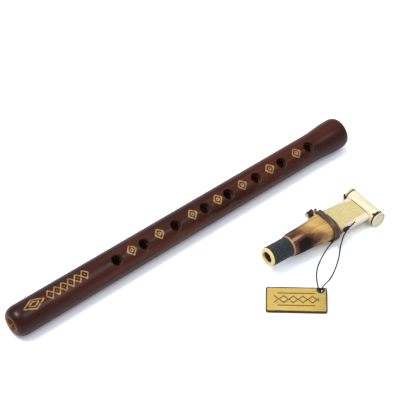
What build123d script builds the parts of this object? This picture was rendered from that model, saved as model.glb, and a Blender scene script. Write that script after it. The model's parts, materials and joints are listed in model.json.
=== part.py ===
# Duduk: an apricot wood pipe with its double reed, the reed's bridle and cap, and a wooden hang tag.
# Frame: X runs along the pipe from its foot to its head, the origin is the centre of the reed
# socket's mouth, Z is up. All sizes are in millimetres.
from build123d import *
from math import sin, cos, tan, radians, degrees, hypot, pi
import os

os.makedirs("parts", exist_ok=True)

# Pipe sizes
PIPE_LEN = 350.0        # foot face to head mouth
FOOT_R = 13.4           # outside radius above the foot dome
NECK_R = 12.4           # outside radius just below the head
HEAD_R = 13.8           # the swollen head, and so how high the pipe's axis lies above the table
HEAD_TOP = 11.6         # widest point of the head, back from the mouth
FLARE_LEN = 22.4        # from the neck to the widest point
HEAD_ROUND = 7.5        # axial length of the head's rounded end
HEAD_RING = 1.13        # width of the flat ring round the mouth
FOOT_ROUND = 9.3        # axial length of the foot's dome
FOOT_RING = 1.1         # width of the flat ring round the foot end of the bore
BORE_R = 6.0
BORE_EDGE = 0.7         # bevel at the foot end of the bore
FOOT_FACE_R = BORE_R + BORE_EDGE + FOOT_RING
STEM_CLEAR = 0.10       # radial clearance of the wrapped stem in the socket
SOCKET_DEPTH = 21.5
HOLE_ROLL = 27.9        # the pipe lies rolled, its finger holes lean this far towards the viewer
HOLE_R = 4.5
HOLE_EDGE = 0.7         # rounding round each finger hole
FIRST_HOLE = 101.5      # foot face to the lowest finger hole
HOLE_STEPS = [27.9, 33.1, 31.2, 25.5, 30.2, 28.4, 30.6]
THUMB_BACK = 15.0       # the thumb hole lies this far below the top finger hole
THUMB_R = 4.2

# Reed sizes
STEM_R = 7.8            # cane under the wrap
STEM_LIP_STEP = 0.5     # how far its bare end stands out
STEM_LIP = 1.4
STEM_LEN = 22.2         # end face to the shoulder
REED_BORE_R = 5.2
REED_LEN = 106.0
WRAP_T = 0.87           # cloth wrapped round the stem
WRAP_EDGE = 0.3
SHOULDER_STEP = 0.63    # how far the shoulder stands out beyond the wrap
BLADE_HALF = 14.0       # half width of the blade at its tip
TIP_HALF = 2.0          # half of its thickness there
STEM_LIP_R = STEM_R + STEM_LIP_STEP
WRAP_R = STEM_R + WRAP_T
SHOULDER_R = WRAP_R + SHOULDER_STEP
SOCKET_R = WRAP_R + STEM_CLEAR
HEAD_FACE_R = SOCKET_R + HEAD_RING

# Cap sizes
CAP_R = 7.0
CAP_HALF = 19.35
CAP_OVER = 2.0          # the cap's axis lies this far beyond the reed's tip
CAP_AT = REED_LEN + CAP_OVER
CAP_DROP = 1.9          # the cap's axis lies this far under the reed's middle plane
POCKET_SIDE = 0.4       # room at each side of the tip in the cap's slit
POCKET_HALF = BLADE_HALF + POCKET_SIDE
TIP_CLEAR = 0.22        # between the blade's faces and the slit
CAP_EDGE = 0.4          # bevel round its ends
SEAM_EDGE = 0.25        # bevel along the seam
TIE_D = 0.7             # tie thread
TIE_STEP = 1.12         # from one end of its turn to the other, along the cap
TIE_GROOVE_DEPTH = 0.8
TIE_GROOVE_R = CAP_R - TIE_GROOVE_DEPTH
TIE_GROOVE_W = 2.0
TIE_CLEAR = 0.05
TIE_NEAR, TIE_FAR = 2.2, 3.5    # middle of each groove from its end of the cap
KNOT_R = 1.1

# Bridle sizes
BRIDLE_FROM = 61.0
BRIDLE_LEN = 8.2
BRIDLE_WALL = 2.2
BRIDLE_SLIDE = 5.0      # it can be pushed this far towards the tip
BRIDLE_CLEAR = 0.17
BRIDLE_FLAT = 0.8       # how thick it is above the blade, as a share of its sides
BRIDLE_ROUND = (1.0, 1.0, 0.8)  # how far its outside bulges on top, on its slopes and at its sides

# Tag and cord sizes
TAG_L, TAG_W, TAG_T = 50.0, 24.8, 2.2
TAG_CORNER = 2.0
TAG_HOLE_R = 1.9
TAG_HOLE = (19.7, 10.0) # hole centre from the tag's centre, along its length and width
TAG_TURN = -40.6        # how the tag's length lies on the table
TAG_TILT = 4.0          # its upper edge lies on the cord
TAG_AT = (-149.85, -115.7)
CORD_D = 1.1

FLOOR = -HEAD_R

# where the reed lies: its cap rests on the table beside the pipe
CAP_X, CAP_Y = -41.0, -76.6
REED_PITCH = 5.15       # its tip lies lower than its stem


def along(u, v=0.0, h=0.0):
    """A point of the reed: u from the stem's end, v towards the viewer, h above its middle."""
    a = radians(REED_PITCH)
    kx, kz = CAP_X, FLOOR + CAP_R
    du, dh = u - CAP_AT, h + CAP_DROP
    return Vector(kx + du * cos(a) + dh * sin(a), CAP_Y - v, kz - du * sin(a) + dh * cos(a))


U_DIR = along(1) - along(0)
W_DIR = along(0, 0, 1) - along(0)


def reed_plane(u):
    return Plane(origin=along(u), x_dir=(0, 1, 0), z_dir=U_DIR)


def eight(t, h, a, e, top, bevel, side):
    """A closed eight-sided line: flat half width t at height h, full half width a at height e,
    and how far each side bulges."""
    corners = [(-t, h), (t, h), (a, e), (a, -e), (t, -h), (-t, -h), (-a, -e), (-a, e)]
    for i, bulge in enumerate([top, bevel, side, bevel, top, bevel, side, bevel]):
        (px, py), (qx, qy) = corners[i], corners[(i + 1) % 8]
        n = hypot(qx - px, qy - py)
        mid = ((px + qx) / 2 - (qy - py) / n * bulge, (py + qy) / 2 + (qx - px) / n * bulge)
        ThreePointArc((px, py), mid, (qx, qy))


def round8(r):
    """The same eight sides on a circle, each a shade flatter than the circle."""
    c, s = cos(radians(22.5)), sin(radians(22.5))
    b = 0.95 * r * (1 - c)
    return (r * s, r * c, r * c, r * s, b, b, b)


# the cane's sections from the round shoulder to the flat tip
FIRST = STEM_LEN + 0.6
SHOULDER = [(FIRST, round8(SHOULDER_R)), (32.0, round8(10.35)), (44.0, round8(10.85)),
            (56.0, (6.6, 8.6, 11.3, 4.4, 0.65, 0.75, 0.5)),
            (64.0, (9.4, 6.9, 12.5, 3.6, 0.40, 0.50, 0.40)), (72.0, (11.4, 5.4, 13.3, 2.6, 0.15, 0.20, 0.25))]
BLADE = [(72.0, (11.4, 5.4, 13.3, 2.6, 0.15, 0.20, 0.25)), (86.0, (10.0, 3.8, 13.8, 1.6, 0.10, 0.10, 0.15)),
         (REED_LEN, (8.4, TIP_HALF, BLADE_HALF, 0.9, 0.05, 0.05, 0.10))]
HOLLOW = [(24.0, round8(REED_BORE_R)), (38.0, round8(7.2)),
          (54.0, (5.0, 5.6, 8.2, 2.8, 0.45, 0.50, 0.35)), (72.0, (8.6, 2.7, 10.9, 1.3, 0.10, 0.12, 0.12))]
SLOT = [HOLLOW[-1], (REED_LEN + 0.5, (7.2, 0.45, 12.4, 0.25, 0.02, 0.02, 0.05))]

# Pipe
with BuildPart() as pipe:
    with BuildSketch(Plane.XZ) as outline:
        with BuildLine():
            x0 = -PIPE_LEN
            Line((x0 + BORE_EDGE, BORE_R), (x0, BORE_R + BORE_EDGE))
            Line((x0, BORE_R + BORE_EDGE), (x0, FOOT_FACE_R))
            EllipticalCenterArc((x0 + FOOT_ROUND, FOOT_FACE_R), FOOT_ROUND, FOOT_R - FOOT_FACE_R,
                                start_angle=90, arc_size=90)
            neck_x = -HEAD_TOP - FLARE_LEN
            Line((x0 + FOOT_ROUND, FOOT_R), (neck_x, NECK_R))
            Spline((neck_x, NECK_R), (-HEAD_TOP, HEAD_R),
                   tangents=[(1, (NECK_R - FOOT_R) / (PIPE_LEN - FOOT_ROUND + neck_x)), (1, 0)])
            Line((-HEAD_TOP, HEAD_R), (-HEAD_ROUND, HEAD_R))
            EllipticalCenterArc((-HEAD_ROUND, HEAD_FACE_R), HEAD_ROUND, HEAD_R - HEAD_FACE_R,
                                start_angle=0, arc_size=90)
            Line((0, HEAD_FACE_R), (0, SOCKET_R))
            Line((0, SOCKET_R), (-SOCKET_DEPTH, SOCKET_R))
            Line((-SOCKET_DEPTH, SOCKET_R), (-SOCKET_DEPTH, BORE_R))
            Line((-SOCKET_DEPTH, BORE_R), (x0 + BORE_EDGE, BORE_R))
        make_face()
    revolve(axis=Axis.X)
    # finger holes in a row on the rolled top, and the thumb hole on the other side
    lean = radians(HOLE_ROLL)
    hole_x = [-PIPE_LEN + FIRST_HOLE + sum(HOLE_STEPS[:i]) for i in range(len(HOLE_STEPS) + 1)]
    spots = [(x, 1, HOLE_R) for x in hole_x] + [(hole_x[-1] - THUMB_BACK, -1, THUMB_R)]
    for x, side, r in spots:
        with BuildSketch(Plane(origin=(x, 0, 0), x_dir=(1, 0, 0),
                               z_dir=(0, -side * sin(lean), side * cos(lean)))):
            Circle(r)
        extrude(amount=HEAD_R + 2, mode=Mode.SUBTRACT)
    rims = []
    for x, side, r in spots:
        n = Vector(0, -side * sin(lean), side * cos(lean))
        for edge in pipe.edges():
            box = edge.bounding_box()
            if abs(box.center().X - x) < 0.5 and abs(box.size.X - 2 * r) < 0.3 \
                    and box.center().dot(n) > (BORE_R + FOOT_R) / 2:
                rims.append(edge)
    print("finger and thumb hole rims rounded:", len(rims))
    fillet(rims, HOLE_EDGE)
pipe.part.label = "pipe"
export_step(pipe.part, "parts/pipe.step")

# Reed cane
with BuildPart() as reed_cane:
    with BuildSketch(Plane(origin=along(0), x_dir=U_DIR, z_dir=(0, -1, 0))) as stem_outline:
        with BuildLine():
            Polyline((0, 0), (0, STEM_LIP_R - 0.6), (0.6, STEM_LIP_R), (STEM_LIP, STEM_LIP_R),
                     (STEM_LIP, STEM_R), (STEM_LEN, STEM_R), (STEM_LEN, WRAP_R + 0.23), (FIRST, SHOULDER_R), (FIRST, 0), (0, 0))
        make_face()
    revolve(axis=Axis(along(0), U_DIR))
    for part, straight in ((SHOULDER, False), (BLADE, True)):
        for u, sec in part:
            with BuildSketch(reed_plane(u)):
                with BuildLine():
                    eight(*sec)
                make_face()
        loft(ruled=straight)
    with BuildSketch(reed_plane(-1)):
        Circle(REED_BORE_R)
    extrude(amount=HOLLOW[0][0] + 1.0, mode=Mode.SUBTRACT)
    for part, straight in ((HOLLOW, False), (SLOT, True)):
        for u, sec in part:
            with BuildSketch(reed_plane(u)):
                with BuildLine():
                    eight(*sec)
                make_face()
        loft(ruled=straight, mode=Mode.SUBTRACT)
reed_cane.part.label = "reed_cane"
export_step(reed_cane.part, "parts/reed_cane.step")
print("reed cane volume", round(reed_cane.part.volume), "solids", len(reed_cane.part.solids()))

# Wrap of the stem
with BuildPart() as stem_wrap:
    with BuildSketch(reed_plane(STEM_LIP + 0.1)):
        Circle(WRAP_R)
        Circle(STEM_R, mode=Mode.SUBTRACT)
    extrude(amount=STEM_LEN - STEM_LIP - 0.2)
    outer = stem_wrap.edges().filter_by(GeomType.CIRCLE).sort_by(lambda e: e.radius)[-2:]
    chamfer(outer, WRAP_EDGE)
stem_wrap.part.label = "stem_wrap"
export_step(stem_wrap.part, "parts/stem_wrap.step")


def turns_round(plane, r, pitch, count, start, dia):
    """One thread wound round a plane's z axis: half turns in tilted planes, which meet without a
    kink, and a straight end one thread long at each side."""
    def at(angle, z, radius=r):
        a = radians(angle)
        return plane.from_local_coords((radius * cos(a), radius * sin(a), z))
    rise, span = pitch / 2, hypot(r, pitch / 4)
    s0 = radians(start)
    tangent = plane.from_local_coords((-sin(s0), cos(s0), 0)) - plane.origin
    first, last = at(start, 0), at(start, pitch * count)
    Line(first - tangent * dia, first)
    for k in range(2 * count):
        turn = start + 180 * k
        ThreePointArc(at(turn, rise * k), at(turn + 90, rise * (k + 0.5), span), at(turn + 180, rise * (k + 1)))
    Line(last, last + tangent * dia)


def least_gap(line, dia, apart, steps=24):
    """Least distance between two stretches of one thread or cord, less its thickness."""
    points, run, gone = [], [], 0.0
    for edge in line.edges():
        for i in range(steps):
            p = edge.position_at(i / steps)
            points.append((p.X, p.Y, p.Z))
            run.append(gone + edge.length * i / steps)
        gone += edge.length
    least = 1e9
    for i, p in enumerate(points):
        for j in range(i + 1, len(points)):
            if run[j] - run[i] > apart:
                d = hypot(p[0] - points[j][0], p[1] - points[j][1], p[2] - points[j][2])
                least = min(least, d)
    return least - dia


# Bridle
def cane_at(u):
    """The cane's section at u, between the two that lie round it."""
    rows = SHOULDER + BLADE[1:]
    for (u0, p), (u1, q) in zip(rows, rows[1:]):
        if u0 <= u <= u1:
            return [m + (n - m) * (u - u0) / (u1 - u0) for m, n in zip(p, q)]


def opening(s):
    """The bridle's opening at s from its stem side: it clears the cane as far as it can slide."""
    t, h, a, e, top, bevel, side = cane_at(BRIDLE_FROM + s)
    wide = cane_at(BRIDLE_FROM + s + BRIDLE_SLIDE)[2]
    return t + 0.45, h + BRIDLE_CLEAR, wide + BRIDLE_CLEAR, e + 0.25, top, bevel, side


def bridle_section(s, grow=0.0):
    """The bridle's opening, which runs straight from end to end, or its rounder outside, larger by grow."""
    k = s / BRIDLE_LEN
    t, h, a, e, top, bevel, side = [m + (n - m) * k for m, n in zip(opening(0), opening(BRIDLE_LEN))]
    if grow:
        top, bevel, side = BRIDLE_ROUND
    return (t + grow * 0.45, h + grow * BRIDLE_FLAT, a + grow, e + grow * 0.45, top, bevel, side)


ridges = [(0.0, -0.8), (1.2, 0.2), (2.6, -0.5), (4.2, 0.4), (5.8, -0.5), (7.0, 0.1), (BRIDLE_LEN, -0.8)]
UNDER_R = 1.7           # a strand tucked under it, on which the reed rests
under_u = BRIDLE_FROM + BRIDLE_LEN / 2
under_h = UNDER_R - (along(under_u).Z - FLOOR) / cos(radians(REED_PITCH)) + 0.05
# the cord passes through its near side
CORD_HOLE_R = CORD_D / 2 + 0.3
cord_in, cord_out = (72.6, 14.55, 3.0), (57.4, 14.85, -3.2)
with BuildPart() as bridle:
    for s, more in ridges:
        with BuildSketch(reed_plane(BRIDLE_FROM + s)):
            with BuildLine():
                eight(*bridle_section(s, BRIDLE_WALL + more))
            make_face()
    loft(ruled=True)
    # the two cut ends of the vine cross on the far side
    for p, q, r in [((59.6, -17.2, -0.6), (66.0, -17.8, 5.2), 2.3), ((60.8, -16.4, -5.2), (66.2, -15.6, 1.2), 2.1)]:
        with BuildSketch(Plane(origin=along(*p), z_dir=along(*q) - along(*p))):
            Circle(r)
        extrude(amount=(along(*q) - along(*p)).length)
    # the tucked strand reaches from the table up to the bridle's inside
    with BuildSketch(Plane(origin=along(under_u, -9.0), x_dir=U_DIR, z_dir=(0, -1, 0))):
        with Locations((0, under_h)):
            Circle(UNDER_R)
        with Locations((0, under_h / 2)):
            Rectangle(1.6 * UNDER_R, -under_h)
    extrude(amount=13.0)
    for s in (-1.0, BRIDLE_LEN + 1.0):
        with BuildSketch(reed_plane(BRIDLE_FROM + s)):
            with BuildLine():
                eight(*bridle_section(s))
            make_face()
    loft(ruled=True, mode=Mode.SUBTRACT)
    with BuildSketch(Plane(origin=along(*cord_out), z_dir=along(*cord_in) - along(*cord_out))):
        Circle(CORD_HOLE_R)
    extrude(amount=(along(*cord_in) - along(*cord_out)).length, mode=Mode.SUBTRACT)
print("bridle solids", len(bridle.part.solids()))
bridle.part.label = "bridle"
export_step(bridle.part, "parts/bridle.step")

# Cap halves
tie_at = [TIE_NEAR - CAP_HALF, CAP_HALF - TIE_FAR]    # along the cap: near groove, far groove


def cap_plane(v):
    """Across the cap at v, with its x axis along the reed."""
    return Plane(origin=along(CAP_AT, v, -CAP_DROP), x_dir=U_DIR, z_dir=(0, -1, 0))


def cap_half(side):
    with BuildPart() as half:
        with BuildSketch(cap_plane(-CAP_HALF)):
            Circle(CAP_R)
        extrude(amount=2 * CAP_HALF)
        chamfer(half.edges(), CAP_EDGE)
        for v in tie_at:
            with BuildSketch(cap_plane(-v - TIE_GROOVE_W / 2)):
                Circle(CAP_R + 1)
                Circle(TIE_GROOVE_R, mode=Mode.SUBTRACT)
            extrude(amount=TIE_GROOVE_W, mode=Mode.SUBTRACT)
        # keep what lies above or below the reed's middle plane
        with BuildSketch(cap_plane(-CAP_HALF - 1)):
            with Locations((0, CAP_DROP - side * 20)):
                Rectangle(40, 40)
        extrude(amount=2 * CAP_HALF + 2, mode=Mode.SUBTRACT)
        seam = [e for e in half.edges().filter_by(GeomType.LINE)
                if abs((e.center() - along(CAP_AT)).dot(W_DIR)) < 1e-4 and e.length > 8
                and abs(e.tangent_at(0.5).Y) > 0.9]
        chamfer(seam, SEAM_EDGE)
        # the pocket for the reed's tip follows the blade's own faces
        (u0, p), (u1, q) = BLADE[1], BLADE[2]
        for u in (CAP_AT - CAP_R - 1.0, REED_LEN + 0.1):
            k = (u - u0) / (u1 - u0)
            t, h, a, e, top, bevel, flank = [m + (n - m) * k for m, n in zip(p, q)]
            with BuildSketch(reed_plane(u)):
                with BuildLine():
                    eight(t, h + TIP_CLEAR, POCKET_HALF, e + TIP_CLEAR, top, bevel, flank)
                make_face()
        loft(ruled=True, mode=Mode.SUBTRACT)
    return half


cap_upper = cap_half(1)
cap_upper.part.label = "cap_upper"
export_step(cap_upper.part, "parts/cap_upper.step")
cap_lower = cap_half(-1)
cap_lower.part.label = "cap_lower"
export_step(cap_lower.part, "parts/cap_lower.step")
print("cap halves, solids", len(cap_upper.part.solids()), len(cap_lower.part.solids()))

# Thread ties of the cap
tie_r = TIE_GROOVE_R + TIE_CLEAR + TIE_D / 2


def cap_tie(v, knot_at, tails):
    """One turn of thread in its groove with a knot at an angle from the reed's direction, and the
    cut ends as (angle, length)."""
    plane = cap_plane(-v - TIE_STEP / 2)
    with BuildPart() as tie:
        with BuildLine() as line:
            turns_round(plane, tie_r, TIE_STEP, 1, knot_at, TIE_D)
        with BuildSketch(Plane(origin=line.line @ 0, z_dir=line.line % 0)):
            Circle(TIE_D / 2)
        sweep(path=line.line)
        a = radians(knot_at)
        knot = cap_plane(-v).from_local_coords(((CAP_R + 0.75) * cos(a), (CAP_R + 0.75) * sin(a), 0))
        with Locations(knot):
            Sphere(KNOT_R)
        for angle, length in tails:
            b = radians(angle)
            way = cap_plane(0).from_local_coords((cos(b), sin(b), 0)) - cap_plane(0).origin
            with BuildSketch(Plane(origin=knot, z_dir=way)):
                Circle(TIE_D / 2)
            extrude(amount=length)
    print("tie, least gap", round(least_gap(line.line, TIE_D, pi * tie_r), 3), "solids", len(tie.part.solids()))
    return tie


cap_tie_left = cap_tie(tie_at[1], 175, [(109, 5.8), (291, 4.2)])
cap_tie_left.part.label = "cap_tie_left"
export_step(cap_tie_left.part, "parts/cap_tie_left.step")
cap_tie_right = cap_tie(tie_at[0], 112, [(158, 4.8), (116, 3.8)])
cap_tie_right.part.label = "cap_tie_right"
export_step(cap_tie_right.part, "parts/cap_tie_right.step")

# Hang tag
tilt, turn = radians(TAG_TILT), radians(TAG_TURN)
tag_x = Vector(cos(turn), sin(turn), 0)
tag_y = Vector(-sin(turn) * cos(tilt), cos(turn) * cos(tilt), sin(tilt))
tag_plane = Plane(origin=(TAG_AT[0], TAG_AT[1], FLOOR + TAG_W / 2 * sin(tilt)), x_dir=tag_x,
                  z_dir=tag_x.cross(tag_y))
with BuildPart() as hang_tag:
    with BuildSketch(tag_plane):
        RectangleRounded(TAG_L, TAG_W, TAG_CORNER)
        with Locations(TAG_HOLE):
            Circle(TAG_HOLE_R, mode=Mode.SUBTRACT)
    extrude(amount=TAG_T)
hang_tag.part.label = "hang_tag"
export_step(hang_tag.part, "parts/hang_tag.step")


def on_tag(x, y, up):
    """A point above or below the tag."""
    return tag_plane.from_local_coords((x, y, up))


# Cord and its knot
lie = FLOOR + CORD_D / 2 + 0.05         # the cord's middle where it lies on the table
hx, hy = TAG_HOLE
under = on_tag(hx, hy, 0)
route = [along(*cord_in), along(*cord_out), Vector(-107.5, -95.4, lie), Vector(-116.0, -101.9, lie),
         Vector(-122.2, -109.2, lie), Vector(-126.2, -115.4, lie),
         Vector(under.X, under.Y, lie), on_tag(hx, hy, TAG_T + 0.85), on_tag(hx + 3.7, hy + 5.4, TAG_T + 0.95),
         Vector(-111.8, -114.9, lie), Vector(-101.0, -109.0, lie), Vector(-89.9, -101.0, lie),
         Vector(-81.2, -92.7, lie), along(71.7, 16.1, 4.3), along(84.2, 13.9, 4.7)]


def bends(points):
    """The largest round bend that each corner has room for, but a tight one where it enters the knot."""
    found = []
    for a, b, c in zip(points, points[1:], points[2:]):
        turned = radians((b - a).get_angle(c - b))
        found.append(0.45 * min((b - a).length, (c - b).length) / tan(turned / 2))
        print("   cord bend", round(degrees(turned)), "degrees, radius", round(found[-1], 1),
              "run", round((b - a).length, 1))
    found[-1] = 2 * CORD_D
    return found


with BuildPart() as tag_cord:
    with BuildLine() as cord_line:
        FilletPolyline(*route, radius=bends(route))
    with BuildSketch(Plane(origin=cord_line.line @ 0, z_dir=cord_line.line % 0)):
        Circle(CORD_D / 2)
    sweep(path=cord_line.line)
cord_wire = cord_line.wire()
print("tag cord length", round(cord_wire.length, 1), "least gap to itself",
      round(least_gap(cord_wire, CORD_D, 8.0), 2), "volume", round(tag_cord.part.volume, 1),
      "of", round(cord_wire.length * pi * CORD_D ** 2 / 4, 1))
tag_cord.part.label = "tag_cord"
export_step(tag_cord.part, "parts/tag_cord.step")

with BuildPart() as cord_knot:
    with BuildSketch(Plane(origin=along(70.2, 15.35, 3.7), x_dir=U_DIR, z_dir=(0, -1, 0))):
        with BuildLine():
            Line((0, 0), (0, 0.7))
            ThreePointArc((0, 0.7), (0.5, 1.45), (1.5, 1.8))
            ThreePointArc((1.5, 1.8), (2.6, 1.95), (3.4, 1.6))
            ThreePointArc((3.4, 1.6), (4.4, 1.8), (5.2, 1.35))
            ThreePointArc((5.2, 1.35), (6.2, 1.2), (6.7, 0.6))
            Polyline((6.7, 0.6), (6.7, 0), (0, 0))
        make_face()
    revolve(axis=Axis(along(70.2, 15.35, 3.7), U_DIR))
cord_knot.part.label = "cord_knot"
export_step(cord_knot.part, "parts/cord_knot.step")
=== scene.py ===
# %% [markdown]
# # A duduk beside its reed
# A duduk is a wooden pipe that is blown through a wide double reed. The pipe, the reed, its cap and its
# tag come as exact solids with their joints. They could be modelled here too, but a solid made to size
# fits its neighbours. So this lesson only dresses them: wood, cane, vine, cloth and cord, a white table
# and a camera.

# %% The frame
import json
import math
import bpy
import bmesh
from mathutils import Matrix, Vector, noise


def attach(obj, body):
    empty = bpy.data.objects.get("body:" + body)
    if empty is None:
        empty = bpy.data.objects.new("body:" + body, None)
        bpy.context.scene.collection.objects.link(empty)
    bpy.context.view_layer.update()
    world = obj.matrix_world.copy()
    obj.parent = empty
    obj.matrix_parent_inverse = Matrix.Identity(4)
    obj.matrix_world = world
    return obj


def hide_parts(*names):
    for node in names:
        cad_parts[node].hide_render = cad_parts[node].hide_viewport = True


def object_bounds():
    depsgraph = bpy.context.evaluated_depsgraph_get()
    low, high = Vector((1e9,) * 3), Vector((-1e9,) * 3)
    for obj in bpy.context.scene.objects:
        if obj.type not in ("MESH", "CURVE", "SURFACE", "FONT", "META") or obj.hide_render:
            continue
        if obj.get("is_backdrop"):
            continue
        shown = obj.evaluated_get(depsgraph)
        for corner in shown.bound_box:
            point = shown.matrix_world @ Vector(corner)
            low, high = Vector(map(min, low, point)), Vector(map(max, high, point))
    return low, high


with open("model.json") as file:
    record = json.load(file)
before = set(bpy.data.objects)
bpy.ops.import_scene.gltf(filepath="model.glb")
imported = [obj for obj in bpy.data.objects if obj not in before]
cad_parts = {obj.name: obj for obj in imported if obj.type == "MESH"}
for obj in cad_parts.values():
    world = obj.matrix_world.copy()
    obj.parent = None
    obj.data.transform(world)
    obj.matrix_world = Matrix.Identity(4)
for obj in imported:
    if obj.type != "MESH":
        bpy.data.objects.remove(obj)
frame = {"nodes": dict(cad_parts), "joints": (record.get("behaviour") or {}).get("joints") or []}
nodes = frame["nodes"]
lo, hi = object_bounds()
print("solid parts:", sorted(nodes), "box in mm:", [round(1000 * (b - a), 1) for a, b in zip(lo, hi)])

# %% [markdown]
# All lengths are in metres. The pipe's axis is the X axis. The reed lies beside it, a little tip down,
# and has directions of its own: `u` from the end of its stem to its tip, `v` towards the viewer and
# `h` up from its middle. They could be typed in as numbers. They are read from the joints of the frame
# instead, so that everything placed by them stays on the solids.

# %% Where things are
MM = 0.001
joints = {j["name"]: j for j in frame["joints"]}
TABLE = lo.z
U_DIR = -Vector(joints["reed_seat"]["axis"]).normalized()
V_DIR = Vector((0, -1, 0))
W_DIR = V_DIR.cross(U_DIR)
CAP_AXIS = Vector(joints["cap_level"]["pos_m"])
# the cap's axis, as u and h of the reed in millimetres
CAP_U, CAP_H = 108.0, -1.9
REED_0 = CAP_AXIS - U_DIR * (CAP_U * MM) - W_DIR * (CAP_H * MM)


def reed(u, v=0.0, h=0.0):
    """A point of the reed, from millimetres along it, across it and above its middle."""
    return REED_0 + U_DIR * (u * MM) + V_DIR * (v * MM) + W_DIR * (h * MM)


print("reed stem end:", [round(c / MM, 1) for c in reed(0)], "up:", [round(c, 3) for c in W_DIR])

# %% [markdown]
# ## Camera
# A long lens looks down on the table from the front left. A short lens near by would show the foot much
# thicker than the head, and the real pipe is nearly straight. The camera could be turned by three angles.
# `to_track_quat` points it at a place instead, which is easier to change.

# %% Camera
CAMERA_AT = Vector((-0.83861, -0.84206, 1.16331))
LOOK_AT = Vector((-0.14746, 0.01178, 0.0))
cam_data = bpy.data.cameras.new("camera")
cam_data.lens, cam_data.sensor_width = 170.65, 36.0
cam_data.clip_start, cam_data.clip_end = 0.05, 20
camera = bpy.data.objects.new("camera", cam_data)
bpy.context.collection.objects.link(camera)
camera.location = CAMERA_AT
camera.rotation_mode = "QUATERNION"
camera.rotation_quaternion = (LOOK_AT - CAMERA_AT).to_track_quat("-Z", "Y")
bpy.context.scene.camera = camera
bpy.context.scene.view_settings.view_transform = "Standard"
print("camera", round((LOOK_AT - CAMERA_AT).length, 3), "m away")

# %% [markdown]
# ## A short way to write materials
# Each material is a small net of nodes. It could be drawn in the shader editor, or written out node by
# node, with several lines for each sum. `Net` makes a node, fills its inputs and gives its output, so
# that a material reads like a formula.


# %% Material helpers
def srgb(r, g, b):
    """A colour as a screen shows it, 0 to 255, made linear."""
    def one(c):
        c /= 255
        return c / 12.92 if c <= 0.04045 else ((c + 0.055) / 1.055) ** 2.4
    return (one(r), one(g), one(b), 1.0)


class Net:
    """A material, with short ways to add nodes to it."""

    def __init__(self, name):
        self.mat = bpy.data.materials.new(name)
        self.mat.use_nodes = True
        self.tree = self.mat.node_tree
        self.shader = self.tree.nodes["Principled BSDF"]
        self.place = self.make("TexCoord").outputs["Object"]

    def make(self, kind, *inputs, **settings):
        node = self.tree.nodes.new("ShaderNode" + kind)
        for key, value in settings.items():
            setattr(node, key, value)
        for slot, value in enumerate(inputs):
            self.put(node.inputs[slot], value)
        return node

    def put(self, socket, value):
        if value is None:
            return
        if isinstance(value, bpy.types.NodeSocket):
            self.tree.links.new(value, socket)
        else:
            socket.default_value = value

    def math(self, op, a, b=None, c=None):
        return self.make("Math", a, b, c, operation=op).outputs[0]

    def times(self, a, b):
        return self.math("MULTIPLY", a, b)

    def plus(self, a, b):
        return self.math("ADD", a, b)

    def minus(self, a, b):
        return self.math("SUBTRACT", a, b)

    def absolute(self, a):
        return self.math("ABSOLUTE", a)

    def above(self, value, limit):
        return self.math("GREATER_THAN", value, limit)

    def below(self, value, limit):
        return self.math("LESS_THAN", value, limit)

    def length(self, a, b):
        return self.math("SQRT", self.plus(self.math("POWER", a, 2), self.math("POWER", b, 2)))

    def dot(self, vector, direction):
        return self.make("VectorMath", vector, tuple(direction), operation="DOT_PRODUCT").outputs["Value"]

    def stretched(self, scale, vector=None):
        source = self.place if vector is None else vector
        return self.make("VectorMath", source, tuple(scale), operation="MULTIPLY").outputs[0]

    def noise(self, vector, scale, detail=3.0, rough=0.5, distortion=0.0):
        node = self.make("TexNoise")
        for key, value in (("Vector", vector), ("Scale", scale), ("Detail", detail), ("Roughness", rough),
                           ("Distortion", distortion)):
            self.put(node.inputs[key], value)
        return node.outputs["Fac"]

    def step(self, value, start, end):
        """0 before start and 1 after end, with a soft slope between."""
        node = self.make("MapRange", interpolation_type="SMOOTHSTEP")
        for key, v in (("Value", value), ("From Min", start), ("From Max", end)):
            self.put(node.inputs[key], v)
        return node.outputs["Result"]

    def mix(self, share, a, b, blend="MIX"):
        node = self.make("Mix", data_type="RGBA", blend_type=blend)
        self.put(node.inputs[0], share)
        self.put(node.inputs[6], a)
        self.put(node.inputs[7], b)
        return node.outputs[2]

    def bump(self, height, strength, distance):
        node = self.make("Bump")
        for key, v in (("Height", height), ("Strength", strength), ("Distance", distance)):
            self.put(node.inputs[key], v)
        return node.outputs["Normal"]

    def surface(self, **values):
        names = {"color": "Base Color", "rough": "Roughness", "normal": "Normal", "coat": "Coat Weight",
                 "coat_rough": "Coat Roughness", "metal": "Metallic", "shine": "Specular IOR Level",
                 "sheen": "Sheen Weight", "soft": "Subsurface Weight"}
        for key, value in values.items():
            self.put(self.shader.inputs[names[key]], value)
        return self.mat


def wear(objects, material):
    """Gives the objects one material and no other."""
    for o in objects:
        o.data.materials.clear()
        o.data.materials.append(material)


print("material helpers ready")

# %% [markdown]
# ## The pipe's wood
# The pipe is turned from apricot wood, stained dark red-brown and polished. A picture of wood could be
# wrapped round it, but would show a seam. Noise stretched along X gives a grain that runs through the
# whole pipe. Inside the bore and the socket the wood is bare. The walls of the finger holes get a dull
# olive brown, darker than bare wood, as painted shade, so the colour also asks how far a point is from
# the axis.

# %% Pipe wood
# in millimetres: radii that take in the socket and the bore, and where the holes begin and end
SOCKET_R, BORE_R, HOLES_FROM, HOLES_TO = 8.95, 7.1, -30, -330
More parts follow.
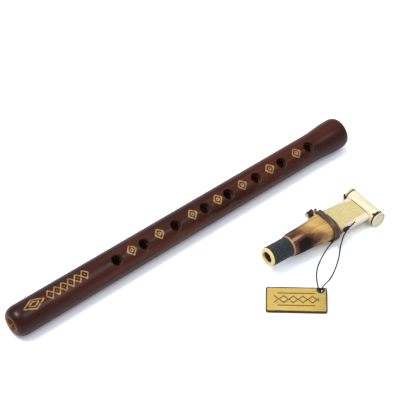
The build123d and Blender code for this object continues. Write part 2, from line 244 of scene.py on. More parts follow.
# the outside's radius at the mouth, its change along X, and how deep under it a wall begins
SKIN_R, SKIN_SLOPE, SKIN_DEEP = 12.25, -0.0035, 0.55
wood = Net("pipe_wood")
x_mm = wood.math("DIVIDE", wood.dot(wood.place, (1, 0, 0)), MM)
flat = wood.make("VectorMath", wood.place, (0, 1, 1), operation="MULTIPLY").outputs[0]
radius = wood.math("DIVIDE", wood.make("VectorMath", flat, operation="LENGTH").outputs["Value"], MM)
grain = wood.noise(wood.stretched((9, 160, 160)), 1.6, 4, 0.62, 0.4)
pores = wood.noise(wood.stretched((40, 900, 900)), 1.5, 2, 0.5)
tone = wood.noise(wood.stretched((6, 20, 20)), 1.2, 2, 0.5)
colour = wood.mix(wood.step(grain, 0.3, 0.72), srgb(42, 12, 6), srgb(88, 32, 15))
colour = wood.mix(wood.step(tone, 0.35, 0.7), colour, srgb(44, 9, 7))
colour = wood.mix(wood.times(wood.step(pores, 0.62, 0.72), 0.5), colour, srgb(24, 9, 8))
bare = wood.mix(wood.step(grain, 0.4, 0.62), srgb(112, 68, 38), srgb(166, 110, 66))
in_socket = wood.times(wood.below(radius, SOCKET_R), wood.above(x_mm, HOLES_FROM))
in_bore = wood.below(radius, BORE_R)
skin_r = wood.math("MULTIPLY_ADD", x_mm, SKIN_SLOPE, SKIN_R)
under_skin = wood.below(radius, wood.minus(skin_r, SKIN_DEEP))
among_holes = wood.times(wood.below(x_mm, HOLES_FROM), wood.above(x_mm, HOLES_TO))
in_hole = wood.times(under_skin, among_holes)
# painted shade: the walls of the finger holes are darker than the bare wood
colour = wood.mix(in_hole, colour, srgb(58, 54, 42))
colour = wood.mix(wood.math("MAXIMUM", in_socket, in_bore), colour, bare)
raw = wood.math("MAXIMUM", in_hole, wood.math("MAXIMUM", in_socket, in_bore))
wood.surface(color=colour, rough=wood.math("MULTIPLY_ADD", raw, 0.35, 0.31), coat=0.02, coat_rough=0.3,
             shine=0.24, normal=wood.bump(wood.plus(grain, pores), 0.12, 0.0001))
wear([nodes["pipe"]], wood.mat)
print("pipe wood:", len(wood.tree.nodes), "nodes")

# %% [markdown]
# ## The reed's cane
# The reed is one piece of straw-coloured cane, scorched brown from the shoulder to a little before the
# bridle. The burn could be painted on a map of the surface, but a solid comes without one. It is worked
# out from `u` and `v` instead, with noise stretched along the fibres, because a burn follows them.

# %% Cane
# places along the reed, in millimetres from its stem end
END_GRAIN_U, SHOULDER_U, SCORCH_END_U, BEVEL_U = 1.7, 22.2, 50.0, 70
# the half width of the blade's flat top falls along the reed
FLAT_HALF, FLAT_SLOPE = 17.75, -0.0882
# the hollow that shows in the stem's end: its radius and how far in it goes
HOLLOW_R, HOLLOW_U = 4.9, 60


def reed_net(name):
    """A material that knows the reed's own u, v and h in millimetres."""
    net = Net(name)
    offset = net.make("VectorMath", net.place, tuple(REED_0), operation="SUBTRACT").outputs[0]
    net.u, net.v, net.h = [net.math("DIVIDE", net.dot(offset, d), MM) for d in (U_DIR, V_DIR, W_DIR)]
    net.uvh = net.make("CombineXYZ", net.u, net.v, net.h).outputs[0]
    return net


cane = reed_net("cane")
fibre = cane.noise(cane.stretched((0.05, 1.4, 1.4), cane.uvh), 1.0, 4, 0.6, 0.2)
streak = cane.noise(cane.stretched((0.03, 0.5, 0.5), cane.uvh), 1.0, 3, 0.55, 0.3)
blotch = cane.noise(cane.stretched((0.09, 0.14, 0.14), cane.uvh), 1.0, 3, 0.6, 0.5)
straw = cane.mix(cane.step(fibre, 0.35, 0.68), srgb(208, 188, 128), srgb(224, 206, 152))
ochre = cane.mix(cane.step(streak, 0.3, 0.7), srgb(196, 148, 81), srgb(218, 188, 114))
colour = cane.mix(cane.step(cane.u, 60, 68), ochre, straw)
burnt = cane.mix(cane.step(streak, 0.34, 0.62), srgb(50, 24, 15), srgb(116, 70, 42))
burnt = cane.mix(cane.times(cane.step(fibre, 0.5, 0.7), 0.5), burnt, srgb(86, 46, 28))
# the scorch reaches further on the side towards the viewer
reach = cane.plus(cane.u, cane.math("MULTIPLY_ADD", blotch, 22, -11))
reach = cane.plus(reach, cane.times(cane.v, -0.75))
amber = cane.step(reach, SCORCH_END_U + 2, SCORCH_END_U - 14)
colour = cane.mix(cane.times(amber, 0.8), colour, srgb(160, 98, 46))
colour = cane.mix(cane.step(reach, SCORCH_END_U - 3, SHOULDER_U + 9), colour, burnt)
black = cane.times(cane.step(cane.plus(cane.v, cane.math("MULTIPLY_ADD", streak, 4, -2)), 5.0, 7.0),
                   cane.step(cane.plus(cane.u, cane.math("MULTIPLY_ADD", blotch, 10, -5)), 47, 38))
black = cane.times(black, cane.step(cane.plus(cane.u, cane.math("MULTIPLY_ADD", streak, 9, -4)), 24.5, 29))
far_side = cane.times(cane.step(cane.v, -6.9, -8.7), cane.step(cane.u, 52, 40))
dark = cane.math("MAXIMUM", black, far_side)
colour = cane.mix(cane.times(dark, 0.95), colour, srgb(19, 14, 12))

# %% [markdown]
# ## Marks on the cane
# A split with a paler lip runs from the shoulder, the cut edges are pale and the blade is scraped to flat
# bevels. Such fine lines could be cut into the solid. They stand at known places, so a step in `u`, `v`
# or `h` draws each one over the colour, and it can be moved by changing one number.

# %% Marks on the cane
split_v = cane.minus(cane.v, cane.math("MULTIPLY_ADD", cane.u, 0.02, 4.6))
split = cane.times(cane.step(cane.absolute(split_v), 0.5, 0.25), cane.step(cane.u, 43, 38))
beside_split = cane.step(cane.absolute(cane.plus(split_v, 1.7)), 1.6, 0.7)
lip = cane.times(beside_split, cane.step(cane.u, 39, 27))
up_side = cane.above(cane.h, 2.0)
colour = cane.mix(cane.times(cane.times(lip, up_side), 0.6), colour, srgb(206, 154, 116))
colour = cane.mix(cane.times(cane.times(split, up_side), 0.9), colour, srgb(34, 20, 14))
# the shoulder's rim and the stem's cut end are pale
edge = cane.plus(cane.u, cane.math("MULTIPLY_ADD", streak, 1.6, -0.8))
ring = cane.times(cane.above(cane.u, 22.0), cane.step(edge, 23.5, 22.8))
colour = cane.mix(cane.times(ring, 0.8), colour, srgb(198, 152, 112))
end_grain = cane.mix(cane.step(fibre, 0.3, 0.7), srgb(226, 206, 136), srgb(240, 226, 170))
colour = cane.mix(cane.below(cane.u, END_GRAIN_U), colour, end_grain)
# the blade's scraped bevels, with a dark line along the far one
half_flat = cane.math("MULTIPLY_ADD", cane.u, FLAT_SLOPE, FLAT_HALF)
edge_v = cane.minus(cane.absolute(cane.v), half_flat)
scraped = cane.times(cane.step(edge_v, -0.3, 0.3), cane.above(cane.u, BEVEL_U))
colour = cane.mix(cane.times(scraped, 0.9), colour, srgb(244, 226, 206))
rim = cane.times(cane.step(cane.absolute(edge_v), 0.32, 0.1), cane.below(cane.v, 0))
rim = cane.times(rim, cane.above(cane.u, BEVEL_U - 1))
colour = cane.mix(cane.times(rim, 0.6), colour, srgb(120, 96, 60))
# painted shade: a dark band where the blade goes into the cap, and a darker colour in the unlit hollow of
# the stem
mouth = cane.times(cane.step(cane.u, 101.6, 102.1), cane.step(cane.u, 103.4, 103.0))
colour = cane.mix(cane.times(mouth, 0.75), colour, srgb(64, 46, 24))
from_axis = cane.length(cane.v, cane.h)
inside = cane.times(cane.below(from_axis, HOLLOW_R), cane.below(cane.u, HOLLOW_U))
inside = cane.times(inside, cane.above(cane.u, 0.2))
colour = cane.mix(inside, colour, srgb(92, 60, 40))
cane.surface(color=colour, rough=cane.math("MULTIPLY_ADD", dark, 0.2, 0.42),
             shine=cane.math("MULTIPLY_ADD", dark, -0.3, 0.4), soft=0.03,
             normal=cane.bump(cane.plus(fibre, streak), 0.25, 0.00015))
wear([nodes["reed_cane"]], cane.mat)
print("cane:", len(cane.tree.nodes), "nodes")

# %% [markdown]
# ## The cap
# The cap is a smooth rod of pale cane, split in two, with a fine crack in the end towards the viewer. The
# crack could be cut in the solid. It has no depth that shows, so it is part of the colour: a piece of a
# circle, found from the distance to its middle.

# %% Cap wood
cap = reed_net("cap_wood")
along_cap = cap.noise(cap.stretched((1.1, 0.06, 1.1), cap.uvh), 1.0, 3, 0.55, 0.2)
spots = cap.noise(cap.stretched((0.3, 0.1, 0.3), cap.uvh), 1.0, 2, 0.5)
colour = cap.mix(cap.step(along_cap, 0.3, 0.7), srgb(228, 215, 172), srgb(240, 232, 204))
colour = cap.mix(cap.times(cap.step(spots, 0.5, 0.75), 0.4), colour, srgb(226, 204, 150))
# a crack runs round part of the end towards the viewer
CRACK_U, CRACK_H, CRACK_R, END_V = 108.6, -1.5, 4.7, 19.2
crack_u, crack_h = cap.minus(cap.u, CRACK_U), cap.minus(cap.h, CRACK_H)
from_crack = cap.length(crack_u, crack_h)
crack = cap.step(cap.absolute(cap.minus(from_crack, CRACK_R)), 0.42, 0.16)
crack = cap.times(crack, cap.above(cap.v, END_V))
crack = cap.times(crack, cap.step(cap.plus(crack_u, crack_h), -2.5, -0.5))
colour = cap.mix(cap.times(crack, 0.7), colour, srgb(112, 88, 52))
cap.surface(color=colour, rough=0.38, shine=0.45, soft=0.03, normal=cap.bump(along_cap, 0.15, 0.0001))
wear([nodes["cap_upper"], nodes["cap_lower"]], cap.mat)
print("cap wood:", len(cap.tree.nodes), "nodes")

# %% [markdown]
# ## The tag
# The tag is plywood cut by heat, so its edge is burnt dark, and its ornament is burnt in too. That could
# be a picture laid on it. Here each line is the distance to it, in the tag's own directions, which stays
# sharp at any size: Ping-Pong folds the length into a zigzag, and its mirror image closes the lozenges.

# %% Tag wood
TURN, TILT = math.radians(-40.6), math.radians(4.0)
# half its length and width, and where its hole is, in millimetres
TAG_HALF, TAG_HOLE = (25.0, 12.4), (19.7, 10.0)
TAG_X = Vector((math.cos(TURN), math.sin(TURN), 0))
TAG_Y = Vector((-math.sin(TURN) * math.cos(TILT), math.cos(TURN) * math.cos(TILT), math.sin(TILT)))
TAG_AT = Vector((-149.85 * MM, -115.7 * MM, TABLE + TAG_HALF[1] * MM * math.sin(TILT)))
tag = Net("tag_wood")
offset = tag.make("VectorMath", tag.place, tuple(TAG_AT), operation="SUBTRACT").outputs[0]
tx, ty, tz = [tag.math("DIVIDE", tag.dot(offset, d), MM) for d in (TAG_X, TAG_Y, TAG_X.cross(TAG_Y))]
txy = tag.make("CombineXYZ", tx, ty, tz).outputs[0]
ply = tag.noise(tag.stretched((0.06, 0.9, 0.9), txy), 1.0, 4, 0.6, 0.3)
cloudy = tag.noise(tag.stretched((0.1, 0.1, 0.1), txy), 1.0, 3, 0.6)
colour = tag.mix(tag.step(ply, 0.3, 0.7), srgb(186, 152, 72), srgb(222, 194, 112))
colour = tag.mix(tag.step(cloudy, 0.35, 0.7), colour, srgb(204, 170, 84))
# the end with the hole is browner
colour = tag.mix(tag.times(tag.step(tx, 8, 24), 0.5), colour, srgb(160, 140, 70))


def burnt_line(net, distance, half_width, soft=0.25):
    """1 on a line, from the distance to it."""
    return net.step(net.absolute(distance), half_width + soft, half_width)


# how far inside the tag's outline a point lies
from_side = tag.math("MINIMUM", tag.minus(TAG_HALF[0], tag.absolute(tx)),
                     tag.minus(TAG_HALF[1], tag.absolute(ty)))
hx, hy = tag.minus(tx, TAG_HOLE[0]), tag.minus(ty, TAG_HOLE[1])
from_hole = tag.length(hx, hy)
# soot along the edge and round the hole
ink = tag.step(tag.plus(from_side, tag.times(cloudy, 0.8)), 1.9, 1.0)
ink = tag.math("MAXIMUM", ink, tag.step(from_hole, 3.9, 3.0))
# a row of lozenges between two rules, burnt into the middle
fold = tag.math("PINGPONG", tag.plus(tx, 2.6), 3.9)
lozenge = tag.minus(tag.plus(fold, tag.times(tag.absolute(ty), 1.1)), 3.7)
ROW_HALF, ROW_HIGH, RULE_HALF, RULE_AT = 18.2, 4.4, 15.0, 6.1
rows = tag.times(burnt_line(tag, lozenge, 0.62), tag.step(tag.absolute(tx), ROW_HALF + 0.4, ROW_HALF))
rows = tag.times(rows, tag.step(tag.absolute(ty), ROW_HIGH + 0.2, ROW_HIGH))
rules = burnt_line(tag, tag.minus(tag.absolute(ty), RULE_AT), 0.4)
rules = tag.times(rules, tag.step(tag.absolute(tx), RULE_HALF + 0.4, RULE_HALF))
marks = tag.times(tag.math("MAXIMUM", rows, rules), tag.step(tz, 2.0, 2.15))
ink = tag.math("MAXIMUM", ink, tag.step(tz, 2.12, 1.95))
colour = tag.mix(tag.times(marks, 0.85), colour, srgb(70, 40, 22))
colour = tag.mix(ink, colour, tag.mix(cloudy, srgb(34, 22, 16), srgb(60, 40, 26)))
tag.surface(color=colour, rough=0.5, shine=0.35, normal=tag.bump(ply, 0.15, 0.0001))
wear([nodes["hang_tag"]], tag.mat)
print("tag wood:", len(tag.tree.nodes), "nodes")

# %% [markdown]
# ## Tubes
# Vine, thread and cord ends are tubes round a line of points. A curve with a bevel makes a tube too, but
# one without lumps or a flat side. This helper builds the rings itself. Each tube keeps a map of its
# surface: how far along it and how far round it, so that a fibre can follow it.


# %% Tube helper
def tube(points, radius, sides=12, flat=None, wide=1.0, rough=0.0, seed=0):
    """Vertices, faces and map of a closed tube. flat is the direction in which it is wide times wider."""
    verts, faces, places, gone = [], [], [], 0.0
    tangents = [(points[min(i + 1, len(points) - 1)] - points[max(i - 1, 0)]).normalized()
                for i in range(len(points))]
    side = flat or (Vector((0, 0, 1)) if abs(tangents[0].z) < 0.9 else Vector((1, 0, 0)))
    for i, (p, t) in enumerate(zip(points, tangents)):
        side = (side - t * side.dot(t)).normalized()
        other = t.cross(side)
        gone += (p - points[i - 1]).length / MM if i else 0.0
        r = radius(i / (len(points) - 1)) if callable(radius) else radius
        for k in range(sides):
            a = math.tau * k / sides
            out = side * (math.cos(a) * wide) + other * math.sin(a)
            lump = Vector((math.cos(a) * 1.6, math.sin(a) * 1.6, gone * 0.35 + seed * 9))
            swell = 1 + rough * noise.noise(lump)
            verts.append(p + out * (r * MM * swell))
            places.append((k / sides, gone))
    for i in range(len(points) - 1):
        for k in range(sides):
            a, b = i * sides + k, i * sides + (k + 1) % sides
            faces.append((a, b, b + sides, a + sides))
    faces.append(tuple(reversed(range(sides))))
    faces.append(tuple(range(len(verts) - sides, len(verts))))
    return verts, faces, places


def add_object(name, mesh):
    o = bpy.data.objects.new(name, mesh)
    bpy.context.collection.objects.link(o)
    return o


def turn_outward(mesh):
    """Turns every face of a closed mesh outward."""
    bm = bmesh.new()
    bm.from_mesh(mesh)
    bmesh.ops.recalc_face_normals(bm, faces=bm.faces)
    bm.to_mesh(mesh)
    bm.free()


def piece_of(name, tubes, material, ends=None):
    """One smooth object from several tubes; its cut ends may wear a second material."""
    verts, faces, places, cut = [], [], [], set()
    for v, f, p in tubes:
        base = len(verts)
        cut.update((len(faces) + len(f) - 2, len(faces) + len(f) - 1))
        verts += v
        faces += [tuple(base + k for k in face) for face in f]
        places += p
    mesh = bpy.data.meshes.new(name)
    mesh.from_pydata(verts, [], faces)
    layer = mesh.uv_layers.new(name="UVMap")
    for loop in mesh.loops:
        layer.data[loop.index].uv = places[loop.vertex_index]
    for face in mesh.polygons:
        face.use_smooth = face.index not in cut
        face.material_index = 1 if ends and face.index in cut else 0
    mesh.materials.append(material)
    if ends:
        mesh.materials.append(ends)
    mesh.update()
    turn_outward(mesh)
    return add_object(name, mesh)


print("tube helper ready")

# %% [markdown]
# ## The bridle
# A split vine is wound round the reed almost three times, to hold the blade in shape. Its cut ends stand
# out on the far side. A torus for each turn would look like rings. One line of points runs round the
# cane's rounded outline instead and moves on along the reed, so that each turn leads into the next.

# %% Bridle
vine = Net("vine")
on_vine = vine.make("TexCoord").outputs["UV"]
strands = vine.noise(vine.stretched((9, 0.09, 1), on_vine), 1.0, 5, 0.65, 0.25)
bark = vine.noise(vine.stretched((300, 300, 300)), 1.0, 3, 0.6)
colour = vine.mix(vine.step(strands, 0.36, 0.6), srgb(34, 21, 15), srgb(112, 80, 60))
colour = vine.mix(vine.times(vine.step(strands, 0.6, 0.7), 0.7), colour, srgb(172, 142, 114))
colour = vine.mix(vine.times(vine.step(bark, 0.5, 0.7), 0.4), colour, srgb(84, 68, 46))
# painted shade: each strand is darkened on its sides, where it meets the next
around = vine.make("SeparateXYZ", on_vine).outputs[0]
gap_shade = vine.absolute(vine.math("COSINE", vine.times(around, math.tau)))
colour = vine.mix(vine.times(vine.step(gap_shade, 0.72, 0.98), 0.8), colour, srgb(18, 12, 10))
vine.surface(color=colour, rough=0.42, shine=0.45,
             normal=vine.bump(vine.plus(strands, vine.times(bark, 0.4)), 0.7, 0.0005))
cut_end = Net("vine_cut")
fleck = cut_end.noise(cut_end.stretched((900, 900, 900)), 1.0, 2)
colour = cut_end.mix(fleck, srgb(186, 170, 150), srgb(232, 220, 202))
cut_end.surface(color=colour, rough=0.6)

# the height and half width of the cane at the two ends of the bridle
CANE_U = (61.0, 69.2)
CANE_SIZE = ((7.71, 12.87), (6.11, 13.56))


def round_reed(u, angle, out):
    """A point round the reed at u, out millimetres from its cane; the angle starts at the near side."""
    k = (u - CANE_U[0]) / (CANE_U[1] - CANE_U[0])
    h, a = [p + (q - p) * k for p, q in zip(*CANE_SIZE)]
    h, a = h + out + 0.8, a + out
    c, s, n = math.cos(angle), math.sin(angle), 2.7
    r = (abs(c / a) ** n + abs(s / h) ** n) ** (-1 / n)
    return reed(u, r * c, r * s)


TURNS, VINE_FROM, VINE_SPREAD, VINE_POINTS = 2.9, 61.5, 5.9, 260
path = []
for i in range(VINE_POINTS + 1):
    k = i / VINE_POINTS
    angle = math.radians(150) + math.tau * TURNS * k
    u = VINE_FROM + VINE_SPREAD * k + 0.3 * math.sin(angle * 1.7 + 1) + 0.25 * math.sin(angle * 0.6)
    path.append(round_reed(u, angle, 1.15 + 0.2 * math.sin(angle * 2.3)))
loops = [tube(path, 1.08, 14, U_DIR, 1.2, 0.16, 1)]
# a thinner strand crosses them over the top
thin = [round_reed(61.6 + 7.4 * i / 60, math.radians(15 + 150 * i / 60), 1.65) for i in range(61)]
loops.append(tube(thin, 0.5, 10, U_DIR, 1.5, 0.2, 4))
# the vine's cut ends on the far side, and the strand tucked under the reed: start, end and radius
STUBS = [((57.2, -16.7, 3.3), (64.2, -17.7, 3.4), 2.1), ((57.6, -15.2, 1.4), (64.5, -14.8, 2.0), 1.5),
         ((64.4, -14.6, 4.9), (68.2, -17.5, 3.2), 1.3), ((65.1, -9.0, -11.0), (65.1, 4.0, -11.0), 1.6)]
for seed, (p, q, r) in enumerate(STUBS):
    a, b = reed(*p), reed(*q)
    loops.append(tube([a.lerp(b, i / 8) for i in range(9)], r, 16, None, 1.0, 0.1, 6 + seed))
bridle = piece_of("bridle_vine", loops, vine.mat, cut_end.mat)
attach(bridle, "bridle")
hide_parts("bridle")
print("bridle:", len(bridle.data.polygons), "faces")

# %% [markdown]
# ## The cloth on the stem
# A strip of dark cloth is wound tightly round the stem, to seal it in the pipe. A cloth simulation is for
# cloth that is free to fall, and this can't. So the sleeve is built ring by ring: its radius grows a
# little over each lap, which shows as faint steps, and the weave is in the bump.

# %% Stem cloth
cloth_net = reed_net("wrap")
angle = cloth_net.math("ARCTAN2", cloth_net.v, cloth_net.h)
warp = cloth_net.math("SINE", cloth_net.times(angle, 96))
weft = cloth_net.math("SINE", cloth_net.times(cloth_net.u, 9.5))
fluff = cloth_net.noise(cloth_net.stretched((1.0, 1.0, 1.0), cloth_net.uvh), 1.0, 4, 0.75)
weave = cloth_net.plus(cloth_net.times(warp, weft), cloth_net.times(fluff, 2.5))
colour = cloth_net.mix(cloth_net.step(weave, 0.2, 2.4), srgb(15, 17, 22), srgb(52, 57, 64))
colour = cloth_net.mix(cloth_net.times(cloth_net.step(fluff, 0.54, 0.66), 0.6), colour, srgb(104, 108, 112))
cloth_net.surface(color=colour, rough=0.85, shine=0.18, sheen=0.2,
                  normal=cloth_net.bump(weave, 0.5, 0.0002))
mesh = bpy.data.meshes.new("stem_cloth")
ROUND, RINGS, LAP = 144, 48, 7.2
CLOTH_FROM, CLOTH_LEN, CLOTH_IN, CLOTH_OUT = 1.5, 20.6, 7.82, 8.46
verts, faces = [], []
for i in range(RINGS + 1):
    u = CLOTH_FROM + CLOTH_LEN * i / RINGS
    for k in range(ROUND):
        a = math.tau * k / ROUND
        lap = ((u / LAP + k / ROUND) % 1.0)
        r = CLOTH_OUT + 0.12 * lap + 0.05 * noise.noise(Vector((math.cos(a) * 5, math.sin(a) * 5, u * 0.9)))
        r -= 0.35 * max(0.0, 1 - min(i, RINGS - i) / 1.5)
        verts.append(reed(u, r * math.cos(a), r * math.sin(a)))
for i in range(RINGS):
    for k in range(ROUND):
        a, b = i * ROUND + k, i * ROUND + (k + 1) % ROUND
        faces.append((a, b, b + ROUND, a + ROUND))
# the inside of the sleeve, where it lies on the cane
base = len(verts)
for u in (CLOTH_FROM, CLOTH_FROM + CLOTH_LEN):
    for k in range(ROUND):
        a = math.tau * k / ROUND
        verts.append(reed(u, CLOTH_IN * math.cos(a), CLOTH_IN * math.sin(a)))
for k in range(ROUND):
    n = (k + 1) % ROUND
    faces.append((base + n, base + k, base + ROUND + k, base + ROUND + n))
    faces.append((n, k, base + k, base + n))
    faces.append((RINGS * ROUND + k, RINGS * ROUND + n, base + ROUND + n, base + ROUND + k))
mesh.from_pydata(verts, [], faces)
turn_outward(mesh)
for face in mesh.polygons:
    face.use_smooth = True
cloth = add_object("stem_cloth", mesh)
wear([cloth], cloth_net.mat)
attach(cloth, "reed")
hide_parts("stem_wrap")
print("stem cloth:", len(mesh.polygons), "faces")

# %% [markdown]
# ## The ties of the cap
# Each groove holds two turns of dark thread, knotted, with stiff cut tails. A knot could be tied in one
# line of points, which is hard to place by hand. Three crossed rings give the same lump at this size. The
# twist of the thread is a slanted wave in its colour and bump.

# %% Ties
thread = Net("tie_thread")
on_thread = thread.make("TexCoord").outputs["UV"]
along, across = [thread.make("SeparateXYZ", on_thread).outputs[k] for k in (1, 0)]
ply = thread.math("SINE", thread.math("MULTIPLY_ADD", along, 5.0, thread.times(across, math.tau)))
colour = thread.mix(thread.step(ply, -0.8, 0.8), srgb(26, 20, 16), srgb(64, 54, 42))
thread.surface(color=colour, rough=0.7, shine=0.3, normal=thread.bump(ply, 0.5, 0.0001))


def cap_at(v, angle, r):
    """A point round the cap's axis; the angle is from the reed's direction up, in degrees."""
    a = math.radians(angle)
    return reed(CAP_U + r * math.cos(a), v, CAP_H + r * math.sin(a))


THREAD_R, TIE_R, KNOT_R = 0.27, 6.52, 7.15


def tie(name, node, v, knot_at, tails):
    """Two turns of thread at v, a knot at an angle, and tails given as angle and length."""
    turns = [cap_at(v - 0.42 + 0.84 * i / 96, knot_at + 720 * i / 96, TIE_R) for i in range(97)]
    tubes = [tube(turns, THREAD_R, 8, None, 1.0, 0.1)]
    knot = cap_at(v, knot_at, KNOT_R)
    for k, lean in enumerate((-35, 20, 75)):
        a = V_DIR * math.cos(math.radians(lean)) + W_DIR * math.sin(math.radians(lean))
        b = a.cross((knot - reed(CAP_U, v, CAP_H)).normalized())
        around = [math.tau * i / 20 for i in range(21)]
        ring = [knot + (a * math.cos(t) * 0.75 + b * math.sin(t) * 0.5) * MM for t in around]
        tubes.append(tube(ring, 0.42, 8, None, 1.0, 0.1, k))
    for k, (angle, length) in enumerate(tails):
        way = U_DIR * math.cos(math.radians(angle)) + W_DIR * math.sin(math.radians(angle))
        bend = V_DIR * (0.6 * MM * (1 if k else -1))
        line = [knot + way * (length * MM * i / 8) + bend * (i / 8) ** 2 for i in range(9)]
        tubes.append(tube(line, lambda s: 0.72 + 0.12 * s, 8, None, 1.0, 0.15, k))
    o = piece_of(name, tubes, thread.mat)
    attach(o, "cap_ties")
    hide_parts(node)
    return o


ties = [tie("far_tie", "cap_tie_left", -15.85, 175, [(100, 5.4), (285, 3.4)]),
        tie("near_tie", "cap_tie_right", 17.15, 112, [(158, 4.0), (64, 2.6)])]
print("ties:", [len(o.data.polygons) for o in ties])

# %% [markdown]
# ## The tag's cord
# A black cord goes from the bridle down to the table, under the tag, up through its hole and back to a
# whipped knot beside the bridle. A simulation could let it fall, but then its way could only be chosen
# roughly. A smooth curve follows a few listed corners, and its bevel gives the thickness.

# %% Cord
CORD_D = 1.1
# the height of the lying cord's middle
LIE = TABLE / MM + 0.6
ROUTE = [reed(72.6, 14.55, 3.0), reed(57.4, 14.85, -3.2)]
# the corners on the table on the way to the tag and back, as x and y in millimetres
OUT = ((-107.5, -95.4), (-116.0, -101.9), (-122.2, -109.2), (-126.2, -115.4))
BACK = ((-111.8, -114.9), (-101.0, -109.0), (-89.9, -101.0), (-81.2, -92.7))
ROUTE += [Vector((x, y, LIE)) * MM for x, y in OUT]
hole = TAG_AT + TAG_X * (TAG_HOLE[0] * MM) + TAG_Y * (TAG_HOLE[1] * MM)
tag_up = TAG_X.cross(TAG_Y)
ROUTE += [Vector((hole.x, hole.y, LIE * MM)), hole + tag_up * (3.05 * MM),
          hole + TAG_X * (3.7 * MM) + TAG_Y * (5.4 * MM) + tag_up * (3.15 * MM)]
ROUTE += [Vector((x, y, LIE)) * MM for x, y in BACK]
ROUTE += [reed(71.7, 16.1, 4.3), reed(84.2, 13.9, 4.7)]
curve = bpy.data.curves.new("cord_line", "CURVE")
curve.dimensions = "3D"
spline = curve.splines.new("NURBS")
spline.points.add(len(ROUTE) - 1)
for point, place in zip(spline.points, ROUTE):
    point.co = (*place, 1.0)
spline.order_u = 3
spline.use_endpoint_u = True
spline.resolution_u = 16
curve.bevel_depth = CORD_D / 2 * MM
curve.bevel_resolution = 4
curve.use_fill_caps = True
cord_net = Net("cord")
fuzz = cord_net.noise(cord_net.stretched((1500, 1500, 1500)), 1.0, 3, 0.6)
colour = cord_net.mix(cord_net.step(fuzz, 0.4, 0.65), srgb(14, 14, 16), srgb(44, 44, 46))
cord_net.surface(color=colour, rough=0.6, shine=0.35, normal=cord_net.bump(fuzz, 0.4, 0.0001))
curve.materials.append(cord_net.mat)
cord = add_object("tag_cord_line", curve)
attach(cord, "bridle")
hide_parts("tag_cord")

# %% [markdown]
# ## The whipping
# Both strands of the cord are bound together beside the bridle, and the cut end stands out beyond the
# binding. The turns could be one helix. They lie so close that four tilted rings over a thicker core look
# the same, and they need no ends to hide.

# %% Whipping
wraps = []
for k in range(4):
    middle = reed(71.4 + 1.25 * k, 15.35 - 0.12 * k, 3.7)
    around = [math.tau * i / 24 for i in range(25)]
    ring = [middle + (V_DIR * math.cos(t) + W_DIR * math.sin(t)) * (1.15 * MM)
            + U_DIR * (0.5 * MM * math.sin(t)) for t in around]
    wraps.append(tube(ring, 0.56, 10, None, 1.0, 0.06, k))
wraps.append(tube([reed(70.6 + 7.4 * i / 10, 15.4 - 0.5 * i / 10, 3.6 + 0.5 * i / 10) for i in range(11)],
                  lambda s: 1.1 - 0.35 * s, 12, None, 1.0, 0.05))
knot = piece_of("whipped_knot", wraps, cord_net.mat)
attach(knot, "bridle")
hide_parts("cord_knot")
print("cord with", len(ROUTE), "control points")

# %% [markdown]
# ## Gold ornaments on the pipe
# One lozenge stands between each two finger holes, and a band of them runs along the foot. They could be
# a colour in the wood, but its edge would have to follow every line. They are thin plates instead, drawn
# flat first. Each stroke is a row of short boxes, so that it can bend later.

# %% Flat motifs
def stroke(mesh_data, a, b, width, thick, step=0.6):
    """A flat bar from a to b in millimetres, as a row of short closed boxes that share their ends."""
    verts, faces = mesh_data
    (ax, ay), (bx, by) = a, b
    length = math.hypot(bx - ax, by - ay)
    nx, ny = -(by - ay) / length * width / 2, (bx - ax) / length * width / 2
    count, base = max(1, round(length / step)), len(verts)
    for i in range(count + 1):
        x, y = ax + (bx - ax) * i / count, ay + (by - ay) * i / count
        verts += [Vector((x + nx, y + ny, z)) * MM for z in (0, thick)]
        verts += [Vector((x - nx, y - ny, z)) * MM for z in (thick, 0)]
    for i in range(count):
        r = base + 4 * i
        faces += [(r + k, r + (k + 1) % 4, r + 4 + (k + 1) % 4, r + 4 + k) for k in range(4)]
    faces += [(base + 3, base + 2, base + 1, base), tuple(base + 4 * count + k for k in range(4))]


def motif(name, lines, width, thick=0.2):
    data = ([], [])
    for line in lines:
        for a, b in zip(line, line[1:]):
            stroke(data, a, b, width, thick)
    mesh = bpy.data.meshes.new(name)
    mesh.from_pydata(data[0], [], data[1])
    return mesh


def lozenge_lines(cx, half_x, half_y):
    return [[(cx - half_x, 0), (cx, half_y), (cx + half_x, 0), (cx, -half_y), (cx - half_x, 0)]]


print("motif helpers ready")

# %% [markdown]
# ## Rolled round the pipe
# A geometry tree sets the flat motif on points along the pipe and rolls it round the axis: its width
# becomes an angle, and its height is added to the pipe's radius. A Shrinkwrap could press it on, but
# would flatten its thickness. The result is made a plain mesh, because the export drops instances.

